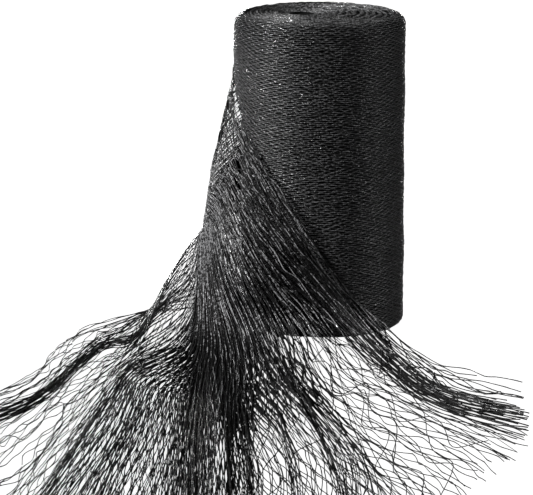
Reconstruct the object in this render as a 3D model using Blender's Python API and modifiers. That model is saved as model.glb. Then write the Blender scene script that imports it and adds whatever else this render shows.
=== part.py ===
"""Knitted bird netting: a bunched, wound roll standing on end, its loose end drawn off and fanned out.

Units are metres, +Z is up. The origin is the middle of the roll's base. Azimuths are taken round the
roll from the front (-Y), positive towards the right (+X).
"""

import math
from typing import NamedTuple

import bmesh
import bpy
import numpy as np

COLLECTION_NAME = "bird_netting"

# The wound roll.
ROLL_RADIUS = 0.0755
ROLL_HEIGHT = 0.273
ROLL_COLUMNS = 52
SIDE_ROWS = 20
SHOULDER_RADIUS = 0.009
SHOULDER_ROWS = 3
BASE_ROUNDING = 0.004
ROUNDED_SHARE = 0.3
TOP_TIGHTNESS = 0.0012

# The winding is uneven: soft bands that wander round the roll, and a few lumps.
BAND_HEIGHT = 0.0003
BAND_COUNT = 4
BAND_WANDER = 2.0
LUMP_HEIGHT = 0.0002
LUMP_COUNT = 3
LUMP_TWIST = 9.0

# The wound end faces: a spiral of layers round an eye that sits off the axis.
EYE_OFFSET = (-0.017, 0.019)
EYE_RADIUS = 0.0075
EYE_DEPTH = 0.012
END_RINGS = 9
LAYER_STEP = 0.0016
LAYERS_SHOWN = 3.5

# Where the outermost layers have come away, the roll is slimmer.
PEEL_DEPTH = 0.0068
PEEL_BLEND = 0.014
SHEET_SEAT_DEPTH = 0.0028
PEEL_START_AZIMUTH = math.radians(-180)
PEEL_DEEPEST_AZIMUTH = math.radians(-95)
PEEL_FADING_AZIMUTH = math.radians(-20)
PEEL_END_AZIMUTH = math.radians(60)

# The loose end: a bunched net, 2 mm thick as it lies.
NET_THICKNESS = 0.002
NET_CLEARANCE = 0.0006
BRIDGED_ANGLE = math.radians(5)
BRIDGED_HEIGHT = 0.007
NET_ROWS_ACROSS = 41
NET_ROWS_ALONG = 37
FOLD_START = 0.30
FOLD_FULL = 0.55
LEAST_FOLD = 0.0004

NET_COLOUR = (0.018, 0.018, 0.019, 1.0)
NET_ROUGHNESS = 0.48


class PeelPoint(NamedTuple):
    """A point of the slanting line along which the loose end has left the roll."""

    azimuth_deg: float
    height: float


PEEL_LINE = [
    PeelPoint(-180, 0.266),
    PeelPoint(-140, 0.252),
    PeelPoint(-90, 0.219),
    PeelPoint(-60, 0.182),
    PeelPoint(-15, 0.112),
    PeelPoint(22, 0.040),
    PeelPoint(45, 0.010),
    PeelPoint(180, 0.005),
]


class Line(NamedTuple):
    """One line of the net, from the back of the roll to its free end.

    across is its place in the bunched width, from the bottom edge (0) to the top edge (1). wound is its
    height on the back of the roll, where it starts. It turns round the roll's left side, runs over its
    front left, and lands on the floor.
    """

    across: float
    wound: float
    turn: tuple
    flank: tuple
    front: tuple
    skirt: tuple
    landing: tuple
    floor: tuple
    end: tuple


NET_LINES = [
    Line(
        across=0.00, wound=0.0025,
        turn=(-0.105, 0.024, 0.001), flank=(-0.152, 0.010, 0.0), front=(-0.190, -0.020, 0.0),
        skirt=(-0.212, -0.062, 0.0), landing=(-0.229, -0.125, 0.0), floor=(-0.252, -0.215, 0.0),
        end=(-0.305, -0.292, 0.0),
    ),
    Line(
        across=0.10, wound=0.026,
        turn=(-0.104, 0.016, 0.023), flank=(-0.140, -0.006, 0.010), front=(-0.172, -0.046, 0.001),
        skirt=(-0.190, -0.090, 0.0), landing=(-0.207, -0.147, 0.0), floor=(-0.235, -0.250, 0.0),
        end=(-0.302, -0.335, 0.0),
    ),
    Line(
        across=0.22, wound=0.058,
        turn=(-0.102, 0.009, 0.053), flank=(-0.132, -0.020, 0.032), front=(-0.152, -0.060, 0.010),
        skirt=(-0.166, -0.101, 0.001), landing=(-0.182, -0.160, 0.0), floor=(-0.214, -0.285, 0.0),
        end=(-0.262, -0.480, 0.0),
    ),
    Line(
        across=0.33, wound=0.087,
        turn=(-0.100, 0.003, 0.078), flank=(-0.127, -0.028, 0.049), front=(-0.142, -0.066, 0.019),
        skirt=(-0.150, -0.105, 0.004), landing=(-0.157, -0.165, 0.0), floor=(-0.171, -0.290, 0.0),
        end=(-0.205, -0.560, 0.0),
    ),
    Line(
        across=0.40, wound=0.106,
        turn=(-0.0985, -0.004, 0.086), flank=(-0.103, -0.048, 0.058), front=(-0.103, -0.086, 0.025),
        skirt=(-0.104, -0.113, 0.006), landing=(-0.103, -0.172, 0.0), floor=(-0.101, -0.290, 0.0),
        end=(-0.100, -0.600, 0.0),
    ),
    Line(
        across=0.52, wound=0.138,
        turn=(-0.0975, -0.004, 0.097), flank=(-0.094, -0.052, 0.074), front=(-0.087, -0.092, 0.036),
        skirt=(-0.080, -0.116, 0.009), landing=(-0.074, -0.172, 0.0), floor=(-0.068, -0.290, 0.0),
        end=(-0.060, -0.604, 0.0),
    ),
    Line(
        across=0.58, wound=0.154,
        turn=(-0.0965, -0.004, 0.106), flank=(-0.089, -0.054, 0.088), front=(-0.077, -0.092, 0.049),
        skirt=(-0.060, -0.112, 0.015), landing=(-0.045, -0.172, 0.0), floor=(-0.028, -0.290, 0.0),
        end=(0.000, -0.592, 0.0),
    ),
    Line(
        across=0.64, wound=0.170,
        turn=(-0.0955, -0.004, 0.118), flank=(-0.084, -0.052, 0.105), front=(-0.064, -0.090, 0.062),
        skirt=(-0.039, -0.108, 0.023), landing=(-0.014, -0.172, 0.0), floor=(0.008, -0.285, 0.0),
        end=(0.060, -0.545, 0.0),
    ),
    Line(
        across=0.72, wound=0.192,
        turn=(-0.0920, -0.004, 0.140), flank=(-0.082, -0.048, 0.127), front=(-0.052, -0.086, 0.074),
        skirt=(-0.013, -0.100, 0.027), landing=(0.018, -0.155, 0.0), floor=(0.062, -0.270, 0.0),
        end=(0.134, -0.412, 0.0),
    ),
    Line(
        across=0.82, wound=0.218,
        turn=(-0.0865, -0.004, 0.165), flank=(-0.076, -0.042, 0.147), front=(-0.039, -0.080, 0.092),
        skirt=(0.004, -0.092, 0.033), landing=(0.046, -0.141, 0.0), floor=(0.092, -0.262, 0.0),
        end=(0.151, -0.322, 0.0),
    ),
    Line(
        across=0.94, wound=0.250,
        turn=(-0.0775, -0.004, 0.203), flank=(-0.070, -0.040, 0.170), front=(-0.025, -0.076, 0.100),
        skirt=(0.018, -0.078, 0.038), landing=(0.070, -0.143, 0.0), floor=(0.106, -0.243, 0.0),
        end=(0.157, -0.296, 0.0),
    ),
    Line(
        across=1.00, wound=0.264,
        turn=(-0.0735, -0.004, 0.218), flank=(-0.067, -0.039, 0.184), front=(-0.020, -0.075, 0.112),
        skirt=(0.029, -0.072, 0.036), landing=(0.091, -0.141, 0.0), floor=(0.124, -0.178, 0.0),
        end=(0.155, -0.206, 0.0),
    ),
]


class Wound(NamedTuple):
    """A place round the back of the roll, and the share of its sag that a line has made there."""

    azimuth_deg: float
    sag: float


WOUND_STRETCH = [Wound(-170.0, 0.0), Wound(-152.0, 0.15), Wound(-132.0, 0.4)]


class Fold(NamedTuple):
    """A soft ridge that runs along the net where its lines lie bunched."""

    across: float
    width: float
    height: float


FOLDS = [
    Fold(0.060, 0.040, 0.005),
    Fold(0.190, 0.035, 0.003),
    Fold(0.325, 0.035, 0.006),
    Fold(0.460, 0.045, 0.008),
    Fold(0.590, 0.035, 0.006),
    Fold(0.700, 0.030, 0.003),
    Fold(0.885, 0.045, 0.006),
]


def clear_scene():
    """Remove every object that the file starts with."""
    for obj in list(bpy.data.objects):
        bpy.data.objects.remove(obj, do_unlink=True)


def smoothstep(value):
    """Ease from 0 at 0 to 1 at 1, level at both ends."""
    t = np.clip(value, 0.0, 1.0)
    return t * t * (3.0 - 2.0 * t)


def net_material(name):
    """Near-black knitted polyethylene with a dull sheen."""
    material = bpy.data.materials.new(name)
    material.use_nodes = True
    shader = material.node_tree.nodes["Principled BSDF"]
    shader.inputs["Base Color"].default_value = NET_COLOUR
    shader.inputs["Roughness"].default_value = NET_ROUGHNESS
    shader.inputs["Metallic"].default_value = 0.0
    return material


def add_object(name, mesh, collection, material):
    """Put a mesh in the collection as a smooth-shaded object."""
    mesh.materials.append(material)
    mesh.shade_smooth()
    obj = bpy.data.objects.new(name, mesh)
    collection.objects.link(obj)
    return obj


def on_circle(azimuth, radius):
    """The plan position at an azimuth and a distance from the roll's axis."""
    return radius * math.sin(azimuth), -radius * math.cos(azimuth)


# The roll ---------------------------------------------------------------------------------------


def peel_height(azimuth):
    """Height of the line below which the outer layers have come away."""
    azimuths = [math.radians(point.azimuth_deg) for point in PEEL_LINE]
    heights = [point.height for point in PEEL_LINE]
    return float(np.interp(azimuth, azimuths, heights))


def peel_depth(azimuth):
    """How much slimmer the roll is below the peel line, by azimuth."""
    swelling = smoothstep(
        (azimuth - PEEL_START_AZIMUTH) / (PEEL_DEEPEST_AZIMUTH - PEEL_START_AZIMUTH)
    )
    fading = 1.0 - smoothstep(
        (azimuth - PEEL_FADING_AZIMUTH) / (PEEL_END_AZIMUTH - PEEL_FADING_AZIMUTH)
    )
    deepening = SHEET_SEAT_DEPTH + (PEEL_DEPTH - SHEET_SEAT_DEPTH) * swelling
    return float(deepening * fading)


def roll_radius(azimuth, height):
    """Radius of the wound side, a little uneven, and slimmer where layers have come away."""
    share = height / ROLL_HEIGHT
    bands = BAND_HEIGHT * (math.sin(BAND_COUNT * math.tau * share + BAND_WANDER * math.sin(azimuth)) - 1.0)
    lumps = LUMP_HEIGHT * (math.cos(LUMP_COUNT * azimuth + LUMP_TWIST * share) - 1.0)
    below_peel = float(smoothstep((peel_height(azimuth) - height) / PEEL_BLEND))
    peeled = below_peel * peel_depth(azimuth)
    return ROLL_RADIUS + bands + lumps - TOP_TIGHTNESS * share - peeled


def side_profile():
    """Rows of the roll's side, from the base to the shoulder: (height, inset from the side)."""
    bend = ROUNDED_SHARE * BASE_ROUNDING
    rows = [(0.0, BASE_ROUNDING), (bend, bend)]
    straight_top = ROLL_HEIGHT - SHOULDER_RADIUS
    for row in range(SIDE_ROWS + 1):
        height = BASE_ROUNDING + (straight_top - BASE_ROUNDING) * row / SIDE_ROWS
        rows.append((height, 0.0))
    for row in range(1, SHOULDER_ROWS + 1):
        angle = 0.5 * math.pi * row / SHOULDER_ROWS
        height = straight_top + SHOULDER_RADIUS * math.sin(angle)
        rows.append((height, SHOULDER_RADIUS * (1.0 - math.cos(angle))))
    return rows


def end_ring(fraction, azimuth):
    """A point of the top end face, from its rim (fraction 0) to the eye (1)."""
    rim = roll_radius(azimuth, ROLL_HEIGHT) - SHOULDER_RADIUS
    radius = rim + (EYE_RADIUS - rim) * fraction
    x, y = on_circle(azimuth, radius)
    turn = azimuth / math.tau
    layer = (LAYERS_SHOWN * fraction + turn) % 1.0
    groove = LAYER_STEP * math.sin(math.pi * layer) ** 2 * math.sin(math.pi * fraction)
    return (x + EYE_OFFSET[0] * fraction, y + EYE_OFFSET[1] * fraction, ROLL_HEIGHT - groove)


def make_roll(collection):
    """The wound roll: an uneven upright cylinder with soft shoulders and a spiral top."""
    work = bmesh.new()
    azimuths = [math.tau * column / ROLL_COLUMNS - math.pi for column in range(ROLL_COLUMNS)]
    rings = []
    for height, inset in side_profile():
        ring = []
        for azimuth in azimuths:
            x, y = on_circle(azimuth, roll_radius(azimuth, height) - inset)
            ring.append(work.verts.new((x, y, height)))
        rings.append(ring)
    for index in range(1, END_RINGS + 1):
        fraction = index / END_RINGS
        rings.append([work.verts.new(end_ring(fraction, azimuth)) for azimuth in azimuths])
    floor_of_eye = []
    for azimuth in azimuths:
        x, y = on_circle(azimuth, 0.5 * EYE_RADIUS)
        place = (x + EYE_OFFSET[0], y + EYE_OFFSET[1], ROLL_HEIGHT - EYE_DEPTH)
        floor_of_eye.append(work.verts.new(place))
    rings.append(floor_of_eye)
    for lower, upper in zip(rings, rings[1:]):
        for column in range(ROLL_COLUMNS):
            after = (column + 1) % ROLL_COLUMNS
            work.faces.new((lower[column], lower[after], upper[after], upper[column]))
    work.faces.new(list(reversed(rings[0])))
    work.faces.new(rings[-1])
    bmesh.ops.recalc_face_normals(work, faces=work.faces)
    mesh = bpy.data.meshes.new("roll")
    work.to_mesh(mesh)
    work.free()
    return add_object("roll", mesh, collection, net_material("wound_net"))


# The loose end ----------------------------------------------------------------------------------


def level_slopes(knots, values):
    """Slopes that let a curve pass its points without swinging past them."""
    steps = np.diff(knots).reshape((-1,) + (1,) * (values.ndim - 1))
    secants = np.diff(values, axis=0) / steps
    before, after = secants[:-1], secants[1:]
    product = before * after
    total = np.where(before + after == 0.0, 1.0, before + after)
    inner = np.where(product > 0.0, 2.0 * product / total, 0.0)
    return np.concatenate([secants[:1], inner, secants[-1:]])


def hermite(knots, values, slopes, at):
    """Smooth curve through values at rising knots, with the given slopes."""
    index = np.clip(np.searchsorted(knots, at, side="right") - 1, 0, len(knots) - 2)
    span = knots[index + 1] - knots[index]
    t = (at - knots[index]) / span
    start = (1 + 2 * t) * (1 - t) ** 2 * values[index] + t * (1 - t) ** 2 * span * slopes[index]
    finish = t * t * (3 - 2 * t) * values[index + 1] + t * t * (t - 1) * span * slopes[index + 1]
    return start + finish


def resting_radius(azimuth, height):
    """Radius at which the net rests on the roll's side, bridging the small hollows round it."""
    around = [
        roll_radius(azimuth + side, height + rise)
        for side in (-BRIDGED_ANGLE, 0.0, BRIDGED_ANGLE)
        for rise in (-BRIDGED_HEIGHT, 0.0, BRIDGED_HEIGHT)
    ]
    return max(around) + NET_CLEARANCE


def wound_points(line):
    """The stretch of a line that still lies round the back of the roll."""
    points = []
    for stretch in WOUND_STRETCH:
        azimuth = math.radians(stretch.azimuth_deg)
        height = line.wound + (line.turn[2] - line.wound) * stretch.sag
        x, y = on_circle(azimuth, resting_radius(azimuth, height))
        points.append((x, y, height))
    return points


def line_points(line):
    """All the points that a line of the net runs through."""
    loose = [line.turn, line.flank, line.front, line.skirt, line.landing, line.floor, line.end]
    return wound_points(line) + loose


def even_points(points, count):
    """Points at even distances along a smooth curve through the given points."""
    steps = np.linalg.norm(np.diff(points, axis=0), axis=1)
    knots = np.concatenate([[0.0], np.cumsum(np.sqrt(steps))])
    slopes = np.gradient(points, knots, axis=0)
    places = np.linspace(0.0, knots[-1], 200)
    dense = np.array([hermite(knots, points, slopes, at) for at in places])
    lengths = np.concatenate([[0.0], np.cumsum(np.linalg.norm(np.diff(dense, axis=0), axis=1))])
    wanted = np.linspace(0.0, lengths[-1], count)
    return np.stack([np.interp(wanted, lengths, dense[:, axis]) for axis in range(3)], axis=1)


def clear_of_roll(point):
    """Push a point out of the roll's side, to where the net rests on it."""
    x, y, z = point
    azimuth = math.atan2(x, -y)
    distance = math.hypot(x, y)
    least = resting_radius(azimuth, z)
    if distance < least and z < ROLL_HEIGHT:
        x, y = on_circle(azimuth, least)
    return x, y, max(z, 0.0)


def plain_surface():
    """The inner surface of the loose net without its folds, as an array [across][along][x, y, z]."""
    knots = np.array([line.across for line in NET_LINES])
    stations = np.array([line_points(line) for line in NET_LINES])
    slopes = level_slopes(knots, stations)
    grid = []
    for across in np.linspace(0.0, 1.0, NET_ROWS_ACROSS):
        run = even_points(hermite(knots, stations, slopes, across), NET_ROWS_ALONG)
        grid.append([clear_of_roll(point) for point in run])
    return np.array(grid)


def net_surface():
    """The inner surface of the loose net, with its folds standing outward and upward."""
    grid = plain_surface()
    outward = np.cross(np.gradient(grid, axis=1), np.gradient(grid, axis=0))
    outward /= np.linalg.norm(outward, axis=2, keepdims=True)
    across = np.linspace(0.0, 1.0, NET_ROWS_ACROSS)
    along = np.linspace(0.0, 1.0, NET_ROWS_ALONG)
    ridges = sum(f.height * np.exp(-(((across - f.across) / f.width) ** 2)) for f in FOLDS)
    ridges = np.maximum(ridges - LEAST_FOLD, 0.0)
    fade = smoothstep((along - FOLD_START) / (FOLD_FULL - FOLD_START))
    grid += outward * (ridges[:, None] * fade[None, :])[:, :, None]
    grid[:, :, 2] = np.maximum(grid[:, :, 2], 0.0)
    return grid


def make_loose_end(collection):
    """The loose end: one thin sheet that hangs off the roll's left side and fans out on the floor."""
    work = bmesh.new()
    grid = [[work.verts.new(point) for point in points] for points in net_surface()]
    for lower, upper in zip(grid, grid[1:]):
        for column in range(NET_ROWS_ALONG - 1):
            corners = (lower[column], lower[column + 1], upper[column + 1], upper[column])
            work.faces.new(corners)
    mesh = bpy.data.meshes.new("loose_end")
    work.to_mesh(mesh)
    work.free()
    obj = add_object("loose_end", mesh, collection, net_material("loose_net"))
    solidify = obj.modifiers.new("thickness", "SOLIDIFY")
    solidify.thickness = NET_THICKNESS
    solidify.offset = 1.0
    solidify.use_even_offset = True
    return obj


def main():
    """Build the roll and its loose end in one collection."""
    clear_scene()
    collection = bpy.data.collections.new(COLLECTION_NAME)
    bpy.context.scene.collection.children.link(collection)
    make_roll(collection)
    make_loose_end(collection)


main()
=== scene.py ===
"""Bird netting: a bunched, wound roll standing on end, its loose end drawn off and fanned out flat.

Units are metres, +Z is up. The origin is the middle of the roll's base. Azimuths are taken round the
roll from the front (-Y), positive towards the right (+X).
"""

from __future__ import annotations

import logging
import math
from dataclasses import dataclass, field, fields
from typing import NamedTuple

import bpy
import numpy as np
from bpy.types import Material, Mesh, Node, NodeSocket, Object
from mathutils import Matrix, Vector

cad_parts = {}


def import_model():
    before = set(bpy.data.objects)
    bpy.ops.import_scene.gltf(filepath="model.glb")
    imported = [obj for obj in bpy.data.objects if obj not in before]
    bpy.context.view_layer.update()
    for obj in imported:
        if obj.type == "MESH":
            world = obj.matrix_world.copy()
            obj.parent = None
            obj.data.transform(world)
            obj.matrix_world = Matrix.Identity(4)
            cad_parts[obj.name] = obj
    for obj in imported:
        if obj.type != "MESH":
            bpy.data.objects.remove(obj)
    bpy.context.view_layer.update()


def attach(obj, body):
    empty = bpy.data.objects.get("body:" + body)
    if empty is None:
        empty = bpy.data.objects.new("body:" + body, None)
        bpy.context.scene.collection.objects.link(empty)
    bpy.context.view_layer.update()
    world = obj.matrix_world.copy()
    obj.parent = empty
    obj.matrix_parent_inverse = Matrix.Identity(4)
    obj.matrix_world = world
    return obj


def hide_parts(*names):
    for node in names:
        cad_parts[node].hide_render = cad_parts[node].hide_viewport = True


log = logging.getLogger("bird_netting")

BODY = "root"
PLACE = "net_place"
LOOK = "net_look"
TONE_AND_SHADE = "twine_tone_and_shade"
WHITE = (1.0, 1.0, 1.0, 1.0)
NOISE_MIDDLE = 0.5
CURVE_SAMPLES = 400
LEAST_SPACING = 1e-6

Point = tuple[float, float, float]
Shade = tuple[float, float, float, float]
EachPly = tuple[float, float, float]


# Curves and ripples -----------------------------------------------------------------------------


def smoothstep(value: np.ndarray | float) -> np.ndarray:
    """Ease from 0 at 0 to 1 at 1, level at both ends."""
    t = np.clip(value, 0.0, 1.0)
    return t * t * (3.0 - 2.0 * t)


class Ramp(NamedTuple):
    """A soft step between 0 and 1: the place where it starts, and how far it takes."""

    start: float
    width: float

    def rise(self, place: np.ndarray, *delays: np.ndarray | float) -> np.ndarray:
        """Ease from 0 to 1 past the start.

        Args:
            place: where to read the step.
            delays: how far the step is put off there.

        Returns:
            The step, from 0 to 1.
        """
        past = place - self.start
        for delay in delays:
            past = past - delay
        return smoothstep(past / self.width)

    def fall(self, place: np.ndarray) -> np.ndarray:
        """Ease from 1 to 0 past the start."""
        return 1.0 - self.rise(place)


class Zone(NamedTuple):
    """A soft-edged part of a strip: its ramps up and down across the strip, and up and down along it."""

    low: Ramp | None = None
    high: Ramp | None = None
    near: Ramp | None = None
    far: Ramp | None = None

    def at(self, across: np.ndarray, along: np.ndarray) -> np.ndarray:
        """Say how far places lie inside.

        Args:
            across: the places across the strip.
            along: the places along it.

        Returns:
            0 outside, 1 inside, and between them on the ramps.
        """
        inside = 1.0
        for place, up, down in ((across, self.low, self.high), (along, self.near, self.far)):
            if up:
                inside = inside * up.rise(place)
            if down:
                inside = inside * down.fall(place)
        return inside


def level_slopes(knots: np.ndarray, values: np.ndarray) -> np.ndarray:
    """Slopes that let a curve pass its points without swinging past them.

    Args:
        knots: rising places of the points.
        values: the points, one row for each knot.

    Returns:
        The slope at each knot, in the shape of values.
    """
    steps = np.diff(knots).reshape((-1,) + (1,) * (values.ndim - 1))
    secants = np.diff(values, axis=0) / steps
    before, after = secants[:-1], secants[1:]
    product = before * after
    total = np.where(before + after == 0.0, 1.0, before + after)
    inner = np.where(product > 0.0, 2.0 * product / total, 0.0)
    return np.concatenate([secants[:1], inner, secants[-1:]])


def hermite(knots: np.ndarray, values: np.ndarray, slopes: np.ndarray, at: np.ndarray) -> np.ndarray:
    """Read a smooth curve through values at rising knots.

    Args:
        knots: rising places of the points.
        values: the points, one row for each knot.
        slopes: the slope at each knot.
        at: the places to read, in one dimension.

    Returns:
        One row for each place.
    """
    index = np.clip(np.searchsorted(knots, at, side="right") - 1, 0, len(knots) - 2)
    shape = (-1,) + (1,) * (values.ndim - 1)
    span = (knots[index + 1] - knots[index]).reshape(shape)
    t = (at - knots[index]).reshape(shape) / span
    start = (1 + 2 * t) * (1 - t) ** 2 * values[index] + t * (1 - t) ** 2 * span * slopes[index]
    finish = t * t * (3 - 2 * t) * values[index + 1] + t * t * (t - 1) * span * slopes[index + 1]
    return start + finish


def even_points(points: np.ndarray, count: int) -> tuple[np.ndarray, float]:
    """Place points at even distances along a smooth curve.

    Args:
        points: the points that the curve runs through.
        count: how many even points to place.

    Returns:
        The even points, and the curve's length.
    """
    steps = np.linalg.norm(np.diff(points, axis=0), axis=1)
    knots = np.concatenate([[0.0], np.cumsum(np.sqrt(steps))])
    slopes = np.gradient(points, knots, axis=0)
    dense = hermite(knots, points, slopes, np.linspace(0.0, knots[-1], CURVE_SAMPLES))
    lengths = np.concatenate([[0.0], np.cumsum(np.linalg.norm(np.diff(dense, axis=0), axis=1))])
    wanted = np.linspace(0.0, lengths[-1], count)
    even = np.stack([np.interp(wanted, lengths, dense[:, axis]) for axis in range(3)], axis=1)
    return even, float(lengths[-1])


def read_grid(grid: np.ndarray, first: np.ndarray, second: np.ndarray) -> np.ndarray:
    """Read a regular grid between its points.

    Args:
        grid: values over the unit square, as [first][second][...].
        first: places along the first side, from 0 to 1.
        second: places along the second side, from 0 to 1, in the same shape.

    Returns:
        The values, in the shape of the places.
    """
    a = np.clip(first, 0.0, 1.0) * (grid.shape[0] - 1)
    b = np.clip(second, 0.0, 1.0) * (grid.shape[1] - 1)
    i = np.minimum(a.astype(int), grid.shape[0] - 2)
    j = np.minimum(b.astype(int), grid.shape[1] - 2)
    s, t = a - i, b - j
    if grid.ndim > 2:
        s, t = s[..., None], t[..., None]
    low = grid[i, j] * (1 - t) + grid[i, j + 1] * t
    high = grid[i + 1, j] * (1 - t) + grid[i + 1, j + 1] * t
    return low * (1 - s) + high * s


class Wave(NamedTuple):
    """One slow ripple over a strip: its height, and its turns across and along it."""

    height: float
    across: float
    along: float
    phase: float


def ripple(waves: list[Wave], across: np.ndarray, along: np.ndarray) -> np.ndarray:
    """Add waves up into one uneven, repeatable ripple."""
    turns = (math.tau * (wave.across * across + wave.along * along) + wave.phase for wave in waves)
    return sum(wave.height * np.sin(turn) for wave, turn in zip(waves, turns))


def grid_mesh(
    name: str, points: np.ndarray, places: np.ndarray, girth: np.ndarray | float = 1.0,
    dulled: np.ndarray | float = 0.0, reach: np.ndarray | float = 1.0,
) -> Mesh:
    """Make a sheet of quads over a grid of points, with each point's place on the net.

    Args:
        name: the mesh's name.
        points: positions as [across][along][x, y, z].
        places: the place on the net of each point, as [across][along][share, distance].
        girth: how thick the twine is at each point, as a share of its own thickness.
        dulled: how far the twine's colour is painted darker for shade at each point, from 0 to 1.
        reach: how much of its full swing the twine makes at each point, from 0 to 1.

    Returns:
        The mesh.
    """
    rows, columns = points.shape[:2]
    corner = np.arange(rows * columns).reshape(rows, columns)
    quads = np.stack([corner[:-1, :-1], corner[:-1, 1:], corner[1:, 1:], corner[1:, :-1]], axis=-1)
    quads = quads.reshape(-1, 4)
    mesh = bpy.data.meshes.new(name)
    mesh.vertices.add(rows * columns)
    mesh.vertices.foreach_set("co", points.astype(np.float32).ravel())
    mesh.loops.add(quads.size)
    mesh.loops.foreach_set("vertex_index", quads.astype(np.int32).ravel())
    mesh.polygons.add(len(quads))
    mesh.polygons.foreach_set("loop_start", np.arange(0, quads.size, 4, dtype=np.int32))
    mesh.update()
    for name, parts in ((PLACE, (places[..., 0], places[..., 1], 0.0)), (LOOK, (girth, dulled, reach))):
        values = np.zeros((rows, columns, 3), np.float32)
        for axis, part in enumerate(parts):
            values[..., axis] = part
        mesh.attributes.new(name, "FLOAT_VECTOR", "POINT").data.foreach_set("vector", values.ravel())
    mesh.shade_smooth()
    return mesh


# Finishes ---------------------------------------------------------------------------------------


@dataclass
class Graph:
    """Adds and links the nodes of one tree."""

    tree: bpy.types.NodeTree

    def feed(self, socket: NodeSocket, value: object) -> None:
        """Give a socket a link from another socket, or a plain value.

        Args:
            socket: the input to feed.
            value: the socket or the value that it takes.
        """
        if isinstance(value, NodeSocket):
            self.tree.links.new(value, socket)
        else:
            socket.default_value = value

    def feed_all(self, node: Node, inputs: dict[str | int, object]) -> None:
        """Feed a node's inputs, by their names or numbers."""
        for key, value in inputs.items():
            self.feed(node.inputs[key], value)

    def add(self, kind: str, inputs: dict[str | int, object] | None = None, **settings: object) -> Node:
        """Add one node.

        Args:
            kind: the node's type.
            inputs: what its inputs are fed, by their names or numbers.
            settings: the node's own settings.

        Returns:
            The node.
        """
        node = self.tree.nodes.new(kind)
        for key, value in settings.items():
            setattr(node, key, value)
        self.feed_all(node, inputs or {})
        return node

    def math(self, operation: str, *values: object) -> NodeSocket:
        """Add one Math node of up to three sockets or numbers, and give its result."""
        return self.add("ShaderNodeMath", dict(enumerate(values)), operation=operation).outputs[0]

    def centred(self, value: object) -> NodeSocket:
        """Move a noise so that its middle is 0."""
        return self.math("SUBTRACT", value, NOISE_MIDDLE)

    def noise(self, vector: object, scale: object, w: object = None, detail: float = 2.0) -> Node:
        """Add one Noise Texture, in four dimensions where w is given.

        Args:
            vector: the place that it is read at.
            scale: how many of its cells fit in a metre.
            w: the fourth coordinate.
            detail: how many finer noises are added to it.

        Returns:
            The node.
        """
        inputs = {"Vector": vector, "Scale": scale, "Detail": detail}
        inputs |= {} if w is None else {"W": w}
        return self.add("ShaderNodeTexNoise", inputs, noise_dimensions="3D" if w is None else "4D")

    def blend(self, factor: object, dark: Shade, light: Shade) -> NodeSocket:
        """Mix two colours."""
        inputs = {"Factor": factor, "A": dark, "B": light}
        return self.add("ShaderNodeMix", inputs, data_type="RGBA").outputs["Result"]

    def bump(self, height: object, depth: float, below: object = None) -> NodeSocket:
        """Add a bump.

        Args:
            height: the bump's pattern.
            depth: its depth in metres.
            below: the bump that it lies on, if any.

        Returns:
            The bumped normal.
        """
        inputs = {"Height": height, "Distance": depth, "Strength": 1.0}
        inputs |= {} if below is None else {"Normal": below}
        return self.add("ShaderNodeBump", inputs).outputs["Normal"]

    def named(self, name: str, kind: str = "FLOAT") -> NodeSocket:
        """Read a named attribute."""
        node = self.add("GeometryNodeInputNamedAttribute", {"Name": name}, data_type=kind)
        return node.outputs["Attribute"]

    def store(self, geometry: object, name: str, value: object, domain: str = "POINT") -> NodeSocket:
        """Store a number as a named attribute.

        Args:
            geometry: the geometry that takes it.
            name: the attribute's name.
            value: the number.
            domain: what part of the geometry carries it.

        Returns:
            The geometry.
        """
        inputs = {"Geometry": geometry, "Name": name, "Value": value}
        node = self.add("GeometryNodeStoreNamedAttribute", inputs, data_type="FLOAT", domain=domain)
        return node.outputs[0]

    def split(self, vector: object) -> bpy.types.bpy_prop_collection:
        """Split a vector into X, Y and Z."""
        return self.add("ShaderNodeSeparateXYZ", {0: vector}).outputs


def start_material(name: str) -> tuple[Material, Graph, Node]:
    """Start a material.

    Args:
        name: the material's name.

    Returns:
        The material, its graph, and its shader.
    """
    material = bpy.data.materials.new(name)
    material.use_nodes = True
    return material, Graph(material.node_tree), material.node_tree.nodes["Principled BSDF"]


@dataclass(frozen=True)
class TwineFinish:
    """Near-black drawn polyethylene twine, with a dull gloss and a fine twist."""

    name: str = "net_twine"
    dark: Shade = (0.001, 0.001, 0.001, 1.0)
    light: Shade = (0.042, 0.042, 0.043, 1.0)
    roughness: float = 0.27
    specular: float = 0.34
    # Random pale dashes along the twine are painted highlights that stand in for glints off its twist; they
    # also bump it and vary its roughness.
    dash_scale: float = 540.0
    dash_depth: float = 0.0009
    dash_contrast: float = 15.0
    dash_gloss: float = 1.6
    tone_contrast: float = 1.0
    tone_gloss: float = 0.4
    grain_scale: float = 900.0
    grain_depth: float = 0.0003

    def material(self) -> Material:
        """Build the material: each twine has its own tone, darkened by painted shade, with painted highlights
        in pale dashes along it, and a fine uneven twist in its bump.

        Returns:
            The material.
        """
        material, graph, shader = start_material(self.name)
        place = graph.add("ShaderNodeTexCoord").outputs["Object"]
        tone = graph.add("ShaderNodeAttribute", attribute_name=TONE_AND_SHADE).outputs["Fac"]
        dash = graph.noise(place, self.dash_scale, detail=1.0).outputs["Fac"]
        grain = graph.noise(place, self.grain_scale, detail=3.0).outputs["Fac"]
        # The tone is the twine's own random tone darkened by painted shade; the pale dashes are painted
        # highlights.
        own = graph.math("MULTIPLY_ADD", graph.centred(tone), self.tone_contrast, NOISE_MIDDLE)
        pale = graph.math("MULTIPLY_ADD", graph.centred(dash), self.dash_contrast, own)
        rough = graph.math("MULTIPLY_ADD", graph.centred(dash), -self.dash_gloss, self.roughness)
        rough = graph.math("MULTIPLY_ADD", graph.centred(tone), -self.tone_gloss, rough)
        graph.feed_all(shader, {
            "Base Color": graph.blend(pale, self.dark, self.light),
            "Roughness": rough,
            "Specular IOR Level": self.specular,
            "Normal": graph.bump(grain, self.grain_depth, graph.bump(dash, self.dash_depth)),
        })
        return material


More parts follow.
